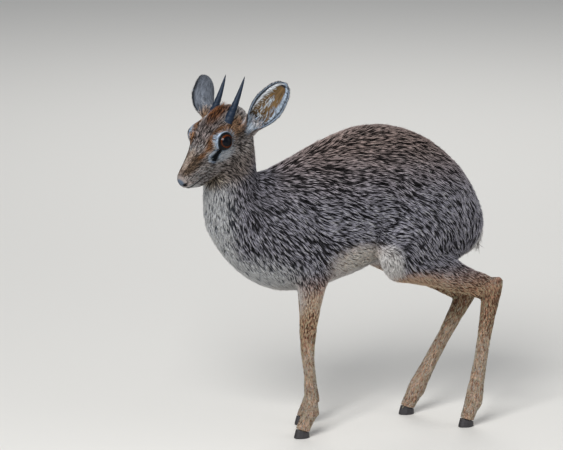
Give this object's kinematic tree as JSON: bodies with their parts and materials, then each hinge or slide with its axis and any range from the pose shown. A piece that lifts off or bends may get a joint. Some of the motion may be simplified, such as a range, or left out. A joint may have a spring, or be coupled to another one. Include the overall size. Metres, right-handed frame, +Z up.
{
  "type": "dik dik",
  "caption": "Life-size standing dik dik antelope, head turned to its left, with short ringed horns, leaf-shaped ears, a humped back, slender bent legs and small cloven hooves.",
  "frame": {"origin": "On the floor, under the middle of the whole animal's bounding box.", "axes": "+Z is up. The animal's body runs along X and faces -X; its left side is toward -Y and its right side toward +Y. The head is turned about 30 degrees to its left."},
  "size_m": [0.4584, 0.1574, 0.4944],
  "materials": {
    "coat": "grizzled grey-brown fur, warmer along the back, pale on the underside",
    "throat": "pale grey grizzled fur",
    "face": "short tawny fur with an erect orange-brown crest",
    "leg": "short sleek ochre-tan fur",
    "ear": "thin skin with short grey fur outside and white hairs inside",
    "horn": "slate-black horn, ringed at the root, smooth at the tip",
    "hoof": "black hoof horn, dull and slightly worn",
    "eye": "wet dark brown eye"
  },
  "bodies": {
    "root": {"ear_left": "ear", "ear_right": "ear", "eye_left": "eye", "eye_right": "eye", "foreleg_left": "leg", "foreleg_right": "leg", "head": "face", "hindleg_left": "leg", "hindleg_right": "leg", "hoof_fore_left_a": "hoof", "hoof_fore_left_b": "hoof", "hoof_fore_right_a": "hoof", "hoof_fore_right_b": "hoof", "hoof_hind_left_a": "hoof", "hoof_hind_left_b": "hoof", "hoof_hind_right_a": "hoof", "hoof_hind_right_b": "hoof", "horn_left": "horn", "horn_right": "horn", "neck": "throat", "tail": "coat", "trunk": "coat"}
  },
  "joints": []
}
